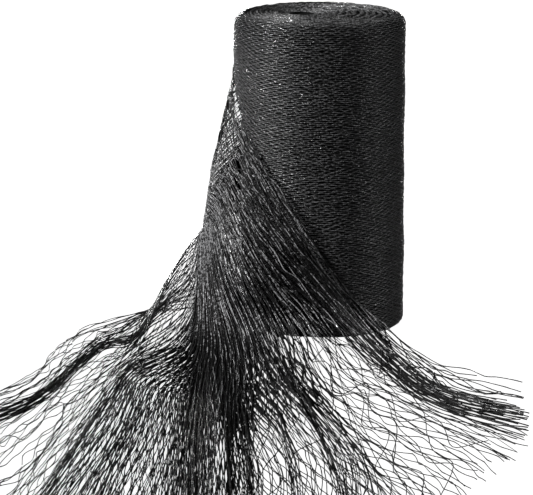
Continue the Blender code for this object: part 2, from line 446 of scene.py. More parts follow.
@dataclass(frozen=True)
class InnerTurnsFinish:
    """The shaded turns of net that show between the outer ones: dark, ridged along the winding."""

    name: str = "inner_turns"
    dark: Shade = (0.001, 0.001, 0.001, 1.0)
    light: Shade = (0.003, 0.003, 0.003, 1.0)
    roughness: float = 0.55
    specular: float = 0.03
    stretch: Point = (0.25, 0.25, 1.0)
    ridge_scale: float = 420.0
    ridge_depth: float = 0.0009
    ridge_power: float = 2.0
    lightest: float = 1.0
    lightest_blend: float = 0.1

    def material(self) -> Material:
        """Build the material: bands of fine ridges that run round the roll, broken by noise.

        Returns:
            The material.
        """
        material, graph, shader = start_material(self.name)
        place = graph.add("ShaderNodeTexCoord").outputs["Object"]
        wound = graph.add("ShaderNodeMapping", {"Vector": place, "Scale": self.stretch}).outputs["Vector"]
        ridges = graph.noise(wound, self.ridge_scale, detail=4.0).outputs["Fac"]
        crests = graph.math("POWER", ridges, self.ridge_power)
        pale = graph.math("SMOOTH_MIN", crests, self.lightest, self.lightest_blend)
        graph.feed_all(shader, {
            "Base Color": graph.blend(pale, self.dark, self.light),
            "Roughness": self.roughness,
            "Specular IOR Level": self.specular,
            "Normal": graph.bump(ridges, self.ridge_depth),
        })
        return material


@dataclass(frozen=True)
class GroundFinish:
    """A plain matt white table."""

    colour: Shade = (0.90, 0.90, 0.90, 1.0)
    glow: float = 1.0
    roughness: float = 0.7

    def material(self) -> Material:
        """Build the material.

        Returns:
            The material.
        """
        material, graph, shader = start_material("ground")
        graph.feed_all(shader, {
            "Base Color": self.colour,
            "Roughness": self.roughness,
            "Emission Color": WHITE,
            "Emission Strength": self.glow,
        })
        return material


# The knitted net --------------------------------------------------------------------------------

TWINE = "twine"
GIRTH = "girth"
SOCKET_KINDS = {int: "NodeSocketInt", float: "NodeSocketFloat"}
INSIDE_SHARES = (0.0005, 0.9995)  # the surface's edges are kept clear, so that every place is found
DRIFT_STRIDE = 1.37  # how far apart the drifts of two twines beside each other are read
STRAY_SPREAD = 4.0
LIFT_SPREAD = 3.0
LIFT_ABOVE = 0.4  # a twine lies flat where its drift is below this
PAINTED_SHADE_TONE = -0.45  # how far painted shade darkens a twine's tone
KNOT_POWER = 6.0  # keeps the thick places short
RAGGED_POWER = 2.0  # most twines end near the edge, a few well short of it
PATCH_SCALE = 14.0  # patches of the net keep their own step, and PATCH_TURN is how far they differ
PATCH_TURN = 10.0
ZIGZAG = 0.8  # the share of the swing that is straight bars, and the rest is round


@dataclass
class NetTree:
    """The working part of a knitted net's node tree: its nodes, and the inputs given to it."""

    graph: Graph
    given: bpy.types.bpy_prop_collection

    def knit(self) -> None:
        """Add the nodes that lay the twines on the surface, from its places to the tree's output."""
        graph, given = self.graph, self.given
        straight = self.straight_twines()
        twine = graph.named(TWINE)
        distance = graph.split(graph.add("GeometryNodeInputPosition").outputs[0])["Y"]
        centre = graph.math("ADD", twine, 0.5)
        middle = graph.math("DIVIDE", centre, given["Twines"])
        nominal = self.position(middle, distance)
        look = graph.split(self.sample(graph.named(LOOK, "FLOAT_VECTOR"), middle, distance).outputs["Value"])
        own = graph.math("MULTIPLY_ADD", twine, DRIFT_STRIDE, given["Seed"])
        drifts = graph.split(graph.noise(nominal, given["Drift Scale"], own, 1.0).outputs["Color"])

        swung = self.swing(twine, distance, nominal)
        astray = graph.math("MULTIPLY", graph.centred(drifts["X"]), STRAY_SPREAD)
        astray = graph.math("MULTIPLY", astray, given["Stray"])
        shift = graph.math("ADD", graph.math("MULTIPLY", swung, given["Swing"]), astray)
        shift = graph.math("MULTIPLY", shift, look["Z"])
        share = graph.math("DIVIDE", graph.math("ADD", centre, shift), given["Twines"])
        share = graph.math("MINIMUM", graph.math("MAXIMUM", share, INSIDE_SHARES[0]), INSIDE_SHARES[1])
        normal = graph.add("GeometryNodeInputNormal").outputs[0]
        upward = self.sample(normal, share, distance).outputs["Value"]
        high = graph.math("MAXIMUM", graph.math("SUBTRACT", drifts["Y"], LIFT_ABOVE), 0.0)
        high = graph.math("MULTIPLY", graph.math("MULTIPLY", high, LIFT_SPREAD), given["Lift"])
        raised = graph.add("ShaderNodeVectorMath", {0: upward, "Scale": high}, operation="SCALE").outputs[0]

        ends = {"Geometry": straight, "Selection": self.past_end(twine, middle, distance)}
        ended = graph.add("GeometryNodeDeleteGeometry", ends, domain="POINT").outputs[0]
        # The twine's tone: its own random tone, darkened by the painted shade that the surface carries.
        toned = graph.store(ended, TONE_AND_SHADE, graph.math("MULTIPLY_ADD", look["Y"], PAINTED_SHADE_TONE, drifts["Z"]))
        tight = graph.math("POWER", graph.math("ABSOLUTE", swung), KNOT_POWER)
        knotted = graph.math("MULTIPLY_ADD", tight, given["Knot"], 1.0)
        knots = graph.store(toned, GIRTH, graph.math("MULTIPLY", knotted, look["X"]))
        place = self.position(share, distance)
        moved = graph.add("GeometryNodeSetPosition", {"Geometry": knots, "Position": place, "Offset": raised})
        self.finish(moved.outputs[0])

    def straight_twines(self) -> NodeSocket:
        """Lay the twines out as straight runs of even points.

        Returns:
            The runs, each with its number.
        """
        graph, given = self.graph, self.given
        end = graph.add("ShaderNodeCombineXYZ", {"Y": given["Run"]}).outputs[0]
        line = graph.add("GeometryNodeCurvePrimitiveLine", {"End": end}).outputs[0]
        even = {"Curve": line, "Length": given["Step"]}
        points = graph.add("GeometryNodeResampleCurve", even, mode="LENGTH").outputs[0]
        amount = {"Geometry": points, "Amount": given["Twines"]}
        copies = graph.add("GeometryNodeDuplicateElements", amount, domain="SPLINE").outputs
        return graph.store(copies[0], TWINE, copies["Duplicate Index"], "CURVE")

    def sample(self, value: object, share: object, distance: object) -> Node:
        """Read a value of the surface at a place on the net.

        Args:
            value: what is read.
            share: the place's share of the width.
            distance: its distance along the twines.

        Returns:
            The node that reads it.
        """
        spot = self.graph.add("ShaderNodeCombineXYZ", {"X": share, "Y": distance}).outputs[0]
        places = self.graph.named(PLACE, "FLOAT_VECTOR")
        inputs = {"Mesh": self.given["Surface"], "Value": value, "UV Map": places, "Sample UV": spot}
        return self.graph.add("GeometryNodeSampleUVSurface", inputs, data_type="FLOAT_VECTOR")

    def position(self, share: object, distance: object) -> NodeSocket:
        """Find the position of a place on the net."""
        position = self.graph.add("GeometryNodeInputPosition").outputs[0]
        return self.sample(position, share, distance).outputs["Value"]

    def swing(self, twine: object, distance: object, nominal: object) -> NodeSocket:
        """Swing from side to side along the twine, out of step with the twines beside it.

        Args:
            twine: the twine's number.
            distance: the distance along it.
            nominal: its position before it swings.

        Returns:
            The swing, from -1 to 1.
        """
        graph, given = self.graph, self.given
        patch = graph.noise(nominal, PATCH_SCALE, given["Seed"]).outputs["Fac"]
        turn = graph.math("MULTIPLY", graph.centred(patch), given["Uneven"])
        turn = graph.math("MULTIPLY", turn, PATCH_TURN)
        bars = graph.math("ADD", graph.math("DIVIDE", distance, given["Bar Length"]), twine)
        wave = graph.math("COSINE", graph.math("MULTIPLY_ADD", bars, math.pi, turn))
        slant = graph.math("MULTIPLY_ADD", graph.math("ARCCOSINE", wave), -2.0 / math.pi, 1.0)
        straight = graph.math("MULTIPLY", slant, ZIGZAG)
        return graph.math("ADD", straight, graph.math("MULTIPLY", wave, 1.0 - ZIGZAG))

    def past_end(self, twine: object, share: object, distance: object) -> NodeSocket:
        """Select the points past the twine's own end, which is a little short of the net's edge.

        Args:
            twine: the twine's number.
            share: its share of the width.
            distance: the distance along it.

        Returns:
            Whether each point is past the end.
        """
        graph, given = self.graph, self.given
        inputs = {"ID": graph.math("ROUND", twine), "Seed": given["Seed"]}
        short = graph.add("FunctionNodeRandomValue", inputs, data_type="FLOAT").outputs[1]
        spare = graph.math("MULTIPLY", graph.math("POWER", short, RAGGED_POWER), given["Ragged"])
        position = graph.add("GeometryNodeInputPosition").outputs[0]
        found = self.sample(position, share, graph.math("ADD", distance, spare)).outputs["Is Valid"]
        return graph.add("FunctionNodeBooleanMath", {0: found}, operation="NOT").outputs[0]

    def finish(self, curves: NodeSocket) -> None:
        """Give the twines their thickness and material, and end the tree.

        Args:
            curves: the twines' paths.
        """
        graph, given = self.graph, self.given
        size = {"Resolution": given["Sides"], "Radius": given["Twine Radius"]}
        circle = graph.add("GeometryNodeCurvePrimitiveCircle", size).outputs[0]
        tube = {"Curve": curves, "Profile Curve": circle, "Scale": graph.named(GIRTH), "Fill Caps": True}
        net = graph.add("GeometryNodeCurveToMesh", tube).outputs[0]
        net = graph.add("GeometryNodeSetShadeSmooth", {"Geometry": net}).outputs[0]
        net = graph.add("GeometryNodeRealizeInstances", {"Geometry": net}).outputs[0]
        painted = graph.add("GeometryNodeSetMaterial", {"Geometry": net, "Material": given["Material"]})
        graph.add("NodeGroupOutput", {"Net": painted.outputs[0]})


@dataclass
class KnittedNet:
    """Twines of a knitted net that follow a surface, meeting their neighbours at knots.

    The surface carries each point's place on the net: its share of the width, and its distance along
    the twines. Each twine swings to the one beside it and back, so that the open cells lie between.
    Every field is a named input of the node tree.
    """

    twines: int
    run: float
    step: float
    bar_length: float
    twine_radius: float
    swing: float = 0.5
    uneven: float = 1.2
    stray: float = 0.25
    lift: float = 0.0006
    ragged: float = 0.0
    knot: float = 0.35
    drift_scale: float = 38.0
    sides: int = 3
    seed: int = 1

    def inputs(self) -> dict[str, int | float]:
        """The tree's named inputs for its sizes, with their values."""
        return {item.name.replace("_", " ").title(): getattr(self, item.name) for item in fields(self)}

    def tree(self) -> bpy.types.NodeTree:
        """Build the node tree.

        Returns:
            The tree, whose output is the realized twines with their material.
        """
        tree = bpy.data.node_groups.new("knitted_net", "GeometryNodeTree")
        sizes = {name: SOCKET_KINDS[type(value)] for name, value in self.inputs().items()}
        sockets = {"Surface": "NodeSocketGeometry", **sizes, "Material": "NodeSocketMaterial"}
        for name, kind in sockets.items():
            tree.interface.new_socket(name, in_out="INPUT", socket_type=kind)
        tree.interface.new_socket("Net", in_out="OUTPUT", socket_type="NodeSocketGeometry")
        graph = Graph(tree)
        NetTree(graph, graph.add("NodeGroupInput").outputs).knit()
        return tree

    def over(self, surface: Mesh, name: str, material: Material) -> Object:
        """Knit the net over a surface.

        Args:
            surface: the surface, with its places on the net.
            name: the new piece's name.
            material: the twines' material.

        Returns:
            The piece, a plain mesh.
        """
        guide = bpy.data.objects.new(name + "_guide", surface)
        bpy.context.scene.collection.objects.link(guide)
        tree = self.tree()
        modifier = guide.modifiers.new("net", "NODES")
        modifier.node_group = tree
        values = {**self.inputs(), "Material": material}
        for item in tree.interface.items_tree:
            if item.in_out == "INPUT" and item.name in values:
                modifier[item.identifier] = values[item.name]
        bpy.context.view_layer.update()
        evaluated = guide.evaluated_get(bpy.context.evaluated_depsgraph_get())
        mesh = bpy.data.meshes.new_from_object(evaluated)
        mesh.name = name
        if not mesh.materials:
            mesh.materials.append(material)
        for extra in (TWINE, GIRTH):
            if extra in mesh.attributes:
                mesh.attributes.remove(mesh.attributes[extra])
        piece = bpy.data.objects.new(name, mesh)
        bpy.context.scene.collection.objects.link(piece)
        bpy.data.objects.remove(guide, do_unlink=True)
        bpy.data.node_groups.remove(tree)
        bpy.data.meshes.remove(surface)
        log.info("%s: %d twines, %d faces", name, self.twines, len(mesh.polygons))
        return piece


# The wound roll ---------------------------------------------------------------------------------


class PeelPoint(NamedTuple):
    """A point of the slanting line along which the loose end has left the roll."""

    azimuth_deg: float
    height: float


PEEL_LINE = [
    PeelPoint(-180, 0.266),
    PeelPoint(-140, 0.252),
    PeelPoint(-90, 0.219),
    PeelPoint(-60, 0.182),
    PeelPoint(-15, 0.112),
    PeelPoint(22, 0.040),
    PeelPoint(45, 0.010),
    PeelPoint(180, 0.005),
]

END_DRIFT = [Wave(0.30, 0.37, 1.0, 0.3), Wave(0.22, 0.81, 3.0, 1.9), Wave(0.15, 1.31, 7.0, 4.2)]
QUARTER_TURN = 0.5 * math.pi


def on_circle(azimuth: np.ndarray, radius: np.ndarray, height: np.ndarray) -> np.ndarray:
    """Points at azimuths, distances from the roll's axis, and heights."""
    parts = (radius * np.sin(azimuth), -radius * np.cos(azimuth), height)
    return np.stack(np.broadcast_arrays(*parts), axis=-1)


@dataclass
class Winding:
    """The wound roll: its inner turns, the outer turns of net round it, and its wound ends."""

    inner_finish: InnerTurnsFinish

    # The wound form, its uneven bands and lumps, and its off-centre eye.
    radius: float = 0.0755
    height: float = 0.273
    shoulder: float = 0.009
    shoulder_steps: int = 9
    base_rounding: float = 0.004
    base_steps: int = 6
    top_tightness: float = 0.0012
    band_height: float = 0.0003
    band_count: float = 4.0
    band_wander: float = 2.0
    lump_height: float = 0.0002
    lump_count: int = 3
    lump_twist: float = 9.0
    eye_offset: tuple[float, float] = (-0.017, 0.019)
    eye_radius: float = 0.0115
    eye_depth: float = 0.012

    # Where outer layers have come away, in depth and in angles round the roll.
    peel_depth: float = 0.0068
    peel_blend: float = 0.014
    seat_depth: float = 0.0028
    peel_start: float = math.radians(-180)
    seat_run: float = math.radians(14)
    peel_deepest: float = math.radians(-95)
    peel_fading: float = math.radians(-20)
    peel_end: float = math.radians(60)

    # How the turns slant up on the left side, clear of the rim and the foot.
    slant_azimuth: float = math.radians(105)
    slant_width: float = math.radians(38)
    slant_rise: float = 0.016
    slant_clear: float = 0.012
    slant_start: Ramp = Ramp(0.02, 0.05)

    # The inner turns, and the twines wound round the side.
    inner_gap: float = 0.0016
    inner_foot: float = 0.3
    inner_top_gap: float = 0.0032
    eye_taper: float = 0.6
    layer_gap: float = 0.0011
    twines: int = 165
    shaded_twines: int = 110
    bars_round: int = 98
    twine_radius: float = 0.00044
    step: float = 0.0027
    seam_lap: float = 1e-4

    # The spirals of turn edges on the end faces.
    end_turns: int = 13
    end_rows: int = 7
    end_points: int = 96
    end_twines: int = 8
    base_twines: int = 4
    end_step: float = 0.0034
    end_bar: float = 0.0095
    end_spread: float = 0.95
    end_wander: float = 0.0064
    top_seat: float = 0.0030
    base_seat: float = 0.0006
    end_crest: float = 0.0030
    crest_uneven: float = 0.8
    crest_shift: int = 7
    crest_fade: float = 0.95
    crest_fades: Ramp = Ramp(0.62, 0.30)

    outer_seed: int = 3
    second_seed: int = 11
    top_seed: int = 5
    base_seed: int = 7
    pieces: list[Object] = field(default_factory=list)

    def peel_height(self, azimuth: np.ndarray) -> np.ndarray:
        """Height of the line below which the outer layers have come away."""
        azimuths = [math.radians(point.azimuth_deg) for point in PEEL_LINE]
        return np.interp(azimuth, azimuths, [point.height for point in PEEL_LINE])

    def side_radius(self, azimuth: np.ndarray, height: np.ndarray) -> np.ndarray:
        """Radius of the wound side, slimmer where layers have come away.

        Args:
            azimuth: angles round the roll, in radians.
            height: heights above the base, in the same shape.

        Returns:
            The radius at each place.
        """
        share = height / self.height
        wander = self.band_wander * np.sin(azimuth)
        bands = self.band_height * (np.sin(self.band_count * math.tau * share + wander) - 1.0)
        lumps = self.lump_height * (np.cos(self.lump_count * azimuth + self.lump_twist * share) - 1.0)
        swelling = smoothstep((azimuth - self.peel_start) / (self.peel_deepest - self.peel_start))
        fading = 1.0 - smoothstep((azimuth - self.peel_fading) / (self.peel_end - self.peel_fading))
        depth = (self.seat_depth + (self.peel_depth - self.seat_depth) * swelling) * fading
        depth = depth * smoothstep((azimuth - self.peel_start) / self.seat_run)
        peeled = depth * smoothstep((self.peel_height(azimuth) - height) / self.peel_blend)
        return self.radius + bands + lumps - self.top_tightness * share - peeled

    def profile(self, rows: int) -> np.ndarray:
        """The side's outline from the base to the top's rim.

        Args:
            rows: how many even rows to place.

        Returns:
            Rows of (height, inset from the side).
        """
        rounding = [(self.base_rounding * (1 - math.cos(a)), self.base_rounding * (1 - math.sin(a)))
                    for a in np.linspace(0.0, QUARTER_TURN, self.base_steps)]
        top = self.height - self.shoulder
        bend = [(top + self.shoulder * math.sin(a), self.shoulder * (1 - math.cos(a)))
                for a in np.linspace(0.0, QUARTER_TURN, self.shoulder_steps)]
        outline = np.array(rounding + bend)
        lengths = np.concatenate([[0.0], np.cumsum(np.linalg.norm(np.diff(outline, axis=0), axis=1))])
        wanted = np.linspace(0.0, lengths[-1], rows)
        return np.stack([np.interp(wanted, lengths, outline[:, side]) for side in range(2)], axis=1)

    def side_grid(self, rows: int, columns: int, sunk: float) -> np.ndarray:
        """Lay a grid over the side.

        Args:
            rows: how many rows up the side.
            columns: how many points round it.
            sunk: how far it lies below the outer face.

        Returns:
            The points, as [up][round][x, y, z].
        """
        outline = self.profile(rows)
        azimuth = np.linspace(-math.pi, math.pi, columns)[None, :]
        height, inset = (np.repeat(outline[:, [part]], columns, axis=1) for part in range(2))
        toward = np.exp(-(((azimuth + self.slant_azimuth) / self.slant_width) ** 2))
        below_top = smoothstep((self.height - self.slant_clear - height) / self.slant_start.width)
        height = height + self.slant_rise * toward * (below_top * self.slant_start.rise(height))
        radius = self.side_radius(azimuth, height) - inset - sunk
        return on_circle(azimuth, radius, height)

    def end_point(self, fraction: np.ndarray, azimuth: np.ndarray, top: bool) -> np.ndarray:
        """Find points of an end face.

        Args:
            fraction: how far in they lie, from the rim (0) to the eye (1).
            azimuth: angles round the roll, in radians.
            top: whether it is the top face.

        Returns:
            The points.
        """
        level = self.height if top else 0.0
        edge = self.shoulder if top else self.base_rounding
        rim = self.side_radius(azimuth, np.full_like(azimuth, level)) - edge
        radius = rim + (self.eye_radius - rim) * fraction
        points = on_circle(azimuth, radius, np.full_like(radius, level))
        points[..., 0] += self.eye_offset[0] * fraction
        points[..., 1] += self.eye_offset[1] * fraction
        return points

    def make_inner_turns(self) -> Object:
        """Make the closed body of inner turns that shows between the outer twines.

        Returns:
            The piece.
        """
        rows, columns, rings = 120, 180, 14
        side = self.side_grid(rows, columns + 1, self.inner_gap)[:, :-1]
        foot = self.inner_gap * self.inner_foot
        side[:, :, 2] = np.clip(side[:, :, 2], foot, self.height - self.inner_gap)
        azimuth = np.linspace(-math.pi, math.pi, columns + 1)[:-1]
        loops = list(side)
        for index in range(1, rings + 1):
            ring = self.end_point(np.full(columns, index / rings), azimuth, True)
            ring[:, 2] -= self.inner_top_gap
            loops.append(ring)
        eye = loops[-1].copy()
        centre = eye.mean(axis=0)
        eye = centre + (eye - centre) * self.eye_taper
        eye[:, 2] = self.height - self.eye_depth
        loops.append(eye)
        points = np.concatenate(loops)
        count = len(loops)
        corner = np.arange(count * columns).reshape(count, columns)
        after = np.roll(corner, -1, axis=1)
        quads = np.stack([corner[:-1], after[:-1], after[1:], corner[1:]], axis=-1).reshape(-1, 4)
        mesh = bpy.data.meshes.new("roll_inner_turns")
        faces = quads.tolist() + [corner[0, ::-1].tolist(), corner[-1].tolist()]
        mesh.from_pydata(points.tolist(), [], faces)
        mesh.shade_smooth()
        mesh.materials.append(self.inner_finish.material())
        piece = bpy.data.objects.new("roll_inner_turns", mesh)
        bpy.context.scene.collection.objects.link(piece)
        log.info("roll_inner_turns: %d faces", len(mesh.polygons))
        return piece

    def make_side_turns(self, name: str, twines: int, sunk: float, seed: int, material: Material) -> Object:
        """Make one layer of twines wound round the side.

        Args:
            name: the piece's name.
            twines: how many twines lie up the side.
            sunk: how far they lie below the outer face.
            seed: the seed of their drifts.
            material: the twines' material.

        Returns:
            The piece.
        """
        rows, columns = 160, 361
        points = self.side_grid(rows, columns, sunk)
        round_length = math.tau * self.radius
        share = np.linspace(0.0, 1.0, rows)[:, None]
        distance = np.linspace(0.0, round_length, columns)[None, :]
        places = np.stack(np.broadcast_arrays(share, distance), axis=-1).copy()
        places[:, 0, 1] -= self.seam_lap
        places[:, -1, 1] += self.seam_lap
        net = KnittedNet(
            twines=twines, run=round_length, step=self.step, bar_length=round_length / self.bars_round,
            twine_radius=self.twine_radius, swing=0.28, uneven=1.6, stray=0.32, lift=0.0008, knot=0.2,
            drift_scale=170.0, seed=seed,
        )
        return net.over(grid_mesh(name + "_surface", points, places), name, material)

    def end_strip(self, rows: int, columns: int, top: bool) -> np.ndarray:
        """Points of the spiral strip of turn edges on an end face.

        Args:
            rows: how many rows across the strip.
            columns: how many points along it, from the rim to the eye.
            top: whether it is the top face, whose turns stand up in crests.

        Returns:
            The points as [across][along][x, y, z], facing out of the roll.
        """
        fraction = np.linspace(0.0, 1.0, columns)
        azimuth = math.tau * self.end_turns * fraction
        turn = (self.radius - self.shoulder - self.eye_radius) / self.end_turns
        uneven = ripple(END_DRIFT, fraction * self.end_turns, azimuth / math.tau)
        points = []
        for row in range(rows):
            share = row / (rows - 1)
            path = self.end_point(fraction, azimuth, top)
            radial = path - np.array([self.eye_offset[0], self.eye_offset[1], 0.0]) * fraction[:, None]
            radial[:, 2] = 0.0
            radial /= np.linalg.norm(radial, axis=1, keepdims=True)
            wander = self.end_wander * uneven * fraction * (1.0 - fraction)
            shift = turn * (share - 0.5) * self.end_spread + wander
            path = path + radial * shift[:, None]
            crest = self.end_crest * math.sin(math.pi * share)
            crest = crest * (1.0 + self.crest_uneven * np.roll(uneven, self.crest_shift))
            crest = crest * (1.0 - self.crest_fade * self.crest_fades.rise(fraction))
            path[:, 2] = self.height - self.top_seat + crest if top else self.base_seat
            points.append(path)
        return np.array(points if top else points[::-1])

    def make_end_turns(self, name: str, top: bool, seed: int, material: Material) -> Object:
        """Make the spiral of turn edges that shows on an end face.

        Args:
            name: the piece's name.
            top: whether it is the top face.
            seed: the seed of the twines' drifts.
            material: the twines' material.

        Returns:
            The piece.
        """
        rows = self.end_rows
        points = self.end_strip(rows, self.end_turns * self.end_points, top)
        steps = np.linalg.norm(np.diff(points[rows // 2], axis=0), axis=1)
        distance = np.concatenate([[0.0], np.cumsum(steps)])
        share = np.linspace(0.0, 1.0, rows)[:, None]
        places = np.stack(np.broadcast_arrays(share, distance[None, :]), axis=-1)
        net = KnittedNet(
            twines=self.end_twines if top else self.base_twines, run=float(distance[-1]), step=self.end_step,
            bar_length=self.end_bar, twine_radius=self.twine_radius, uneven=0.8, stray=0.5,
            lift=0.0008 if top else 0.0, knot=0.3, seed=seed,
        )
        return net.over(grid_mesh(name + "_surface", points, places), name, material)

    def build(self, material: Material, shaded: Material, top: Material) -> None:
        """Build every piece of the roll.

        Args:
            material: the outer twines' material.
            shaded: the material of the twines between them.
            top: the material of the twines on the top face.
        """
        inner = self.make_inner_turns()
        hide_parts("roll")
        gap, below = self.layer_gap, self.shaded_twines
        self.pieces = [
            inner,
            self.make_side_turns("roll_outer_turns", self.twines, 0.0, self.outer_seed, material),
            self.make_side_turns("roll_second_turns", below, gap, self.second_seed, shaded),
            self.make_end_turns("roll_top_turns", True, self.top_seed, top),
            self.make_end_turns("roll_base_turns", False, self.base_seed, material),
        ]
        for piece in self.pieces:
            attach(piece, BODY)


# The loose end ----------------------------------------------------------------------------------


class Line(NamedTuple):
    """One line of the net, from the back of the roll to its free end.

    across is its place in the bunched width, from the bottom edge (0) to the top edge (1), and wound is
    its height on the back of the roll, where it starts. Then come the points that it runs through: it
    turns round the roll's left side, runs over its front left, and lands on the floor.
    """

    across: float
    wound: float
    turn: Point
    flank: Point
    front: Point
    skirt: Point
    landing: Point
    floor: Point
    end: Point


NET_LINES = [
    Line(0.00, 0.0025, (-0.105, 0.024, 0.001), (-0.152, 0.010, 0.0), (-0.190, -0.020, 0.0),
         (-0.212, -0.062, 0.0), (-0.229, -0.125, 0.0), (-0.252, -0.215, 0.0), (-0.305, -0.292, 0.0)),
    Line(0.10, 0.026, (-0.104, 0.016, 0.023), (-0.140, -0.006, 0.010), (-0.172, -0.046, 0.001),
         (-0.190, -0.090, 0.0), (-0.207, -0.147, 0.0), (-0.235, -0.250, 0.0), (-0.302, -0.335, 0.0)),
    Line(0.22, 0.058, (-0.102, 0.009, 0.053), (-0.132, -0.020, 0.032), (-0.152, -0.060, 0.010),
         (-0.166, -0.101, 0.001), (-0.182, -0.160, 0.0), (-0.214, -0.285, 0.0), (-0.262, -0.480, 0.0)),
    Line(0.33, 0.087, (-0.100, 0.003, 0.078), (-0.127, -0.028, 0.049), (-0.142, -0.066, 0.019),
         (-0.150, -0.105, 0.004), (-0.157, -0.165, 0.0), (-0.171, -0.290, 0.0), (-0.205, -0.560, 0.0)),
    Line(0.40, 0.106, (-0.0985, -0.004, 0.086), (-0.103, -0.048, 0.058), (-0.103, -0.086, 0.025),
         (-0.104, -0.113, 0.006), (-0.103, -0.172, 0.0), (-0.101, -0.290, 0.0), (-0.100, -0.600, 0.0)),
    Line(0.52, 0.138, (-0.0975, -0.004, 0.097), (-0.094, -0.052, 0.074), (-0.087, -0.092, 0.036),
         (-0.080, -0.116, 0.009), (-0.074, -0.172, 0.0), (-0.068, -0.290, 0.0), (-0.060, -0.604, 0.0)),
    Line(0.58, 0.154, (-0.0965, -0.004, 0.106), (-0.089, -0.054, 0.088), (-0.077, -0.092, 0.049),
         (-0.060, -0.112, 0.015), (-0.045, -0.172, 0.0), (-0.028, -0.290, 0.0), (0.000, -0.592, 0.0)),
    Line(0.64, 0.170, (-0.0955, -0.004, 0.118), (-0.084, -0.052, 0.105), (-0.064, -0.090, 0.062),
         (-0.039, -0.108, 0.023), (-0.014, -0.172, 0.0), (0.008, -0.285, 0.0), (0.060, -0.545, 0.0)),
    Line(0.72, 0.192, (-0.0920, -0.004, 0.140), (-0.082, -0.048, 0.127), (-0.052, -0.086, 0.074),
         (-0.013, -0.100, 0.027), (0.018, -0.155, 0.0), (0.062, -0.270, 0.0), (0.134, -0.412, 0.0)),
    Line(0.82, 0.218, (-0.0865, -0.004, 0.165), (-0.076, -0.042, 0.147), (-0.039, -0.080, 0.092),
         (0.004, -0.092, 0.033), (0.046, -0.141, 0.0), (0.092, -0.262, 0.0), (0.158, -0.330, 0.0)),
    Line(0.94, 0.250, (-0.0775, -0.004, 0.203), (-0.070, -0.040, 0.170), (-0.025, -0.076, 0.100),
         (0.018, -0.078, 0.038), (0.070, -0.143, 0.0), (0.106, -0.238, 0.0), (0.157, -0.278, 0.0)),
    Line(1.00, 0.264, (-0.0735, -0.004, 0.218), (-0.067, -0.039, 0.184), (-0.020, -0.075, 0.112),
         (0.029, -0.072, 0.036), (0.091, -0.141, 0.0), (0.124, -0.178, 0.0), (0.162, -0.212, 0.0)),
]


class Bunch(NamedTuple):
    """How many of each ply's twines lie between a place across the net and the place before it.

    across is the place. on_floor counts the lower, middle and upper ply's twines where the net has
    landed, and hanging counts them where it hangs off the roll.
    """

    across: float
    on_floor: EachPly
    hanging: EachPly


BUNCHES = [
    Bunch(0.05, (2, 4, 3), (0.3, 0.5, 3)),
    Bunch(0.09, (2, 5, 3), (0.3, 0.5, 3)),
    Bunch(0.155, (9, 42, 16), (0.5, 0.8, 3)),
    Bunch(0.21, (1, 7, 3), (0.5, 0.8, 3)),
    Bunch(0.28, (3, 10, 6), (0.5, 1, 3)),
    Bunch(0.32, (6, 16, 7), (0.5, 1, 3)),
    Bunch(0.36, (30, 80, 22), (0.5, 1, 3)),
    Bunch(0.38, (24, 44, 20), (1, 2, 3)),
    Bunch(0.41, (46, 48, 34), (20, 22, 10)),
    Bunch(0.44, (21, 18, 15), (22, 18, 15)),
    Bunch(0.48, (13, 7, 10), (18, 12, 12)),
    Bunch(0.50, (8, 6, 8), (9, 6, 6)),
    Bunch(0.53, (22, 17, 25), (14, 8, 12)),
    Bunch(0.56, (20, 10, 22), (12, 6, 10)),
    Bunch(0.58, (10, 3, 12), (7, 4, 6)),
    Bunch(0.59, (6, 1, 6), (3, 2, 3)),
    Bunch(0.62, (22, 2, 22), (8, 5, 8)),
    Bunch(0.66, (6, 5, 24), (5, 7, 14)),
    Bunch(0.72, (1, 6, 25), (2, 6, 15)),
    Bunch(0.78, (0.5, 4, 13), (1, 4, 11)),
    Bunch(0.83, (0.5, 22, 8), (0.3, 2, 5)),
    Bunch(0.89, (0.5, 42, 16), (0.3, 2, 4)),
    Bunch(0.94, (0.3, 9, 10), (0.4, 2, 3)),
    Bunch(1.00, (0.2, 5, 14), (0.5, 2, 6)),
]


class Wound(NamedTuple):
    """A place round the back of the roll, and the share of its sag that a line has made there."""

    azimuth_deg: float
    sag: float


WOUND_STRETCH = [Wound(-170.0, 0.0), Wound(-152.0, 0.15), Wound(-132.0, 0.4)]


class Fold(NamedTuple):
    """A soft ridge that runs along the net where its lines lie bunched."""

    across: float
    width: float
    height: float


FOLDS = [
    Fold(0.060, 0.040, 0.005),
    Fold(0.190, 0.035, 0.003),
    Fold(0.325, 0.035, 0.006),
    Fold(0.460, 0.045, 0.008),
    Fold(0.590, 0.035, 0.006),
    Fold(0.700, 0.030, 0.003),
    Fold(0.885, 0.045, 0.006),
]

GATHER_DRIFT = [Wave(0.30, 1.7, 1.1, 0.4), Wave(0.18, 4.3, -1.9, 2.1), Wave(0.10, 9.1, 2.7, 4.0)]
WISP_DRIFT = [Wave(0.35, 3.1, 2.3, 1.3), Wave(0.22, 7.7, -3.1, 0.2), Wave(0.12, 17.0, 4.9, 5.1)]

CELL_RUNS = [0.0, 0.15, 0.35, 0.50, 1.0]
CELL_TURNS = [0.0, 4.5, 10.5, 13.0, 22.0]


@dataclass
class Lay:
    """How one ply's twines lie, as arrays over [across][along].

    share is the twines' own order across the ply, and run is how far along it they have come. gather
    and wisp are the turns of the ripples that pull twines together, loose and roped say how far the
    net has left the roll and run into strands, and where is the place across the net.
    """

    layer: int
    share: np.ndarray
    run: np.ndarray
    loose: np.ndarray
    gather: np.ndarray
    wisp: np.ndarray
    where: np.ndarray
    roped: np.ndarray


